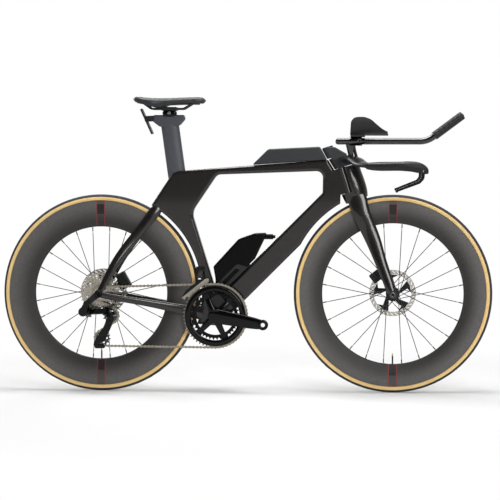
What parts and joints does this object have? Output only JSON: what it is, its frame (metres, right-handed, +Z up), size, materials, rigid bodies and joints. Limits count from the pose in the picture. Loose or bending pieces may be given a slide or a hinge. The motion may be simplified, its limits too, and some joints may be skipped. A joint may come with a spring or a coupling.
{
  "type": "time trial bike",
  "caption": "Aero time trial bicycle with deep rims, base bar, arm rests and extensions, disc brakes, and a geared chain drive.",
  "frame": {"origin": "on the ground, midway between the two wheel contact points", "axes": "+X forward, +Y to the rider's left, +Z up"},
  "size_m": [1.6839, 0.4312, 1.0179],
  "materials": {
    "frame_gloss": "gloss painted carbon",
    "carbon_matte": "matte carbon",
    "slate": "matte slate grey",
    "black_gloss": "gloss black",
    "black_alloy": "black anodised",
    "tyre": "black tread with tan sidewall",
    "steel": "bare",
    "alloy": "machined",
    "foam": "soft foam",
    "cover": "smooth padded cover",
    "grip": "fine texture",
    "bottle": "satin"
  },
  "bodies": {
    "frame": {"main_frame": "frame_gloss", "seat_stays": "frame_gloss", "chain_stays": "frame_gloss", "bottom_bracket": "alloy", "headset_bearings": "alloy", "storage_box": "slate", "bottle_cage": "carbon_matte", "front_derailleur_body": "black_alloy", "derailleur_hanger": "black_alloy", "rear_derailleur_base": "black_alloy", "rear_axle": "black_alloy", "rear_caliper": "black_alloy", "chain": "steel"},
    "steering": {"fork": "frame_gloss", "base_bar": "carbon_matte", "nose_box": "slate", "riser_post": "black_gloss", "arm_rests": "carbon_matte", "arm_pads": "foam", "extensions": "black_gloss", "extension_grips": "grip", "lever_brackets": "grip", "front_axle": "black_alloy", "front_caliper": "black_alloy"},
    "front_wheel": {"front_tyre": "tyre", "front_rim": "carbon_matte", "front_spokes": "steel", "front_hub": "black_alloy", "front_rotor": "steel"},
    "rear_wheel": {"rear_tyre": "tyre", "rear_rim": "carbon_matte", "rear_spokes": "steel", "rear_hub": "black_alloy", "rear_rotor": "steel"},
    "sprockets": {"cassette": "steel"},
    "crankset": {"right_crank_arm": "black_gloss", "left_crank_arm": "black_gloss", "crank_spindle": "steel", "chainrings": "black_alloy", "power_meter": "black_alloy"},
    "front_shift_link": {"front_derailleur_link": "black_alloy"},
    "front_shift_cage": {"front_derailleur_cage": "steel"},
    "outer_link": {"rear_derailleur_outer_link": "black_alloy"},
    "inner_link": {"rear_derailleur_inner_link": "black_alloy"},
    "knuckle": {"rear_derailleur_knuckle": "black_alloy"},
    "pulley_cage": {"rear_derailleur_cage": "black_alloy"},
    "upper_pulley": {"guide_pulley": "black_gloss"},
    "lower_pulley": {"tension_pulley": "black_gloss"},
    "left_lever": {"left_brake_lever": "black_gloss"},
    "right_lever": {"right_brake_lever": "black_gloss"},
    "left_button": {"left_shift_button": "grip"},
    "right_button": {"right_shift_button": "grip"},
    "post": {"seatpost": "slate", "rear_mount_plate": "carbon_matte"},
    "tilt_clamp": {"saddle_clamp": "black_alloy"},
    "saddle": {"saddle_rails": "carbon_matte", "saddle_shell": "carbon_matte", "saddle_cover": "cover"},
    "bottle": {"bottle": "bottle"}
  },
  "joints": [
    {"name": "steering_turn", "type": "hinge", "parent": "frame", "child": "steering", "pos_m": [0.35049, 0, 0.68621], "axis": [-0.2924, 0, 0.9563], "range_deg": [-30, 30]},
    {"name": "front_wheel_spin", "type": "hinge", "parent": "steering", "child": "front_wheel", "pos_m": [0.5025, 0, 0.3395], "axis": [0, 1, 0], "continuous": true},
    {"name": "rear_wheel_spin", "type": "hinge", "parent": "frame", "child": "rear_wheel", "pos_m": [-0.5025, 0, 0.3395], "axis": [0, 1, 0], "continuous": true},
    {"name": "crank_spin", "type": "hinge", "parent": "frame", "child": "crankset", "pos_m": [-0.104, 0, 0.2645], "axis": [0, 1, 0], "continuous": true, "deforming": ["chain"]},
    {"name": "sprocket_spin", "type": "hinge", "parent": "frame", "child": "sprockets", "pos_m": [-0.5025, 0, 0.3395], "axis": [0, 1, 0], "continuous": true},
    {"name": "front_shift_swing", "type": "hinge", "parent": "frame", "child": "front_shift_link", "pos_m": [-0.155, -0.036, 0.415], "axis": [1, 0, 0], "range_deg": [0, 18.54], "deforming": ["chain"]},
    {"name": "front_cage_level", "type": "hinge", "parent": "front_shift_link", "child": "front_shift_cage", "pos_m": [-0.155, -0.04899, 0.39699], "axis": [1, 0, 0], "range_deg": [-18.54, 0]},
    {"name": "rear_shift_swing", "type": "hinge", "parent": "frame", "child": "outer_link", "pos_m": [-0.53, -0.082, 0.279], "axis": [0.1166, 0.4442, 0.8883], "range_deg": [0, 42.45], "deforming": ["chain"]},
    {"name": "inner_link_swing", "type": "hinge", "parent": "frame", "child": "inner_link", "pos_m": [-0.53, -0.07127, 0.27363], "axis": [0.1166, 0.4442, 0.8883], "range_deg": [0, 42.45]},
    {"name": "knuckle_level", "type": "hinge", "parent": "outer_link", "child": "knuckle", "pos_m": [-0.4726, -0.10509, 0.28301], "axis": [0.1166, 0.4442, 0.8883], "range_deg": [-42.45, 0]},
    {"name": "cage_pivot", "type": "hinge", "parent": "knuckle", "child": "pulley_cage", "pos_m": [-0.461, -0.065, 0.265], "axis": [0, -1, 0], "range_deg": [-10, 45], "stiffness_Nm_per_rad": 0.6, "deforming": ["chain"]},
    {"name": "upper_pulley_spin", "type": "hinge", "parent": "pulley_cage", "child": "upper_pulley", "pos_m": [-0.461, -0.065, 0.265], "axis": [0, 1, 0], "continuous": true},
    {"name": "lower_pulley_spin", "type": "hinge", "parent": "pulley_cage", "child": "lower_pulley", "pos_m": [-0.49043, -0.065, 0.1874], "axis": [0, 1, 0], "continuous": true},
    {"name": "left_brake", "type": "hinge", "parent": "steering", "child": "left_lever", "pos_m": [0.6, 0.2, 0.76], "axis": [0, 1, 0], "range_deg": [0, 20], "stiffness_Nm_per_rad": 1.2, "springref_deg": -4.58},
    {"name": "right_brake", "type": "hinge", "parent": "steering", "child": "right_lever", "pos_m": [0.6, -0.2, 0.76], "axis": [0, 1, 0], "range_deg": [0, 20], "stiffness_Nm_per_rad": 1.2, "springref_deg": -4.58},
    {"name": "left_shift_push", "type": "slide", "parent": "steering", "child": "left_button", "axis": [-0.8018, 0, -0.5976], "range_m": [0, 0.0012], "stiffness_N_per_m": 500, "springref_m": -0.001},
    {"name": "right_shift_push", "type": "slide", "parent": "steering", "child": "right_button", "axis": [-0.8018, 0, -0.5976], "range_m": [0, 0.0012], "stiffness_N_per_m": 500, "springref_m": -0.001},
    {"name": "seat_height", "type": "slide", "parent": "frame", "child": "post", "axis": [-0.1357, 0, 0.9907], "range_m": [-0.05, 0.05]},
    {"name": "saddle_angle", "type": "hinge", "parent": "post", "child": "tilt_clamp", "pos_m": [-0.264, 0, 0.96], "axis": [0, 1, 0], "range_deg": [-5, 5]},
    {"name": "saddle_setback", "type": "slide", "parent": "tilt_clamp", "child": "saddle", "axis": [1, 0, 0], "range_m": [-0.012, 0.012]},
    {"name": "bottle_pull", "type": "slide", "parent": "frame", "child": "bottle", "axis": [0.7071, 0, 0.7071], "range_m": [0, 0.1]}
  ],
  "couplings": [
    {"joint": "sprocket_spin", "follows": "crank_spin", "ratio": 4.9091},
    {"joint": "upper_pulley_spin", "follows": "crank_spin", "ratio": -4.1538},
    {"joint": "lower_pulley_spin", "follows": "crank_spin", "ratio": 4.1538},
    {"joint": "front_cage_level", "follows": "front_shift_swing", "ratio": -1},
    {"joint": "inner_link_swing", "follows": "rear_shift_swing", "ratio": 1},
    {"joint": "knuckle_level", "follows": "rear_shift_swing", "ratio": -1}
  ]
}
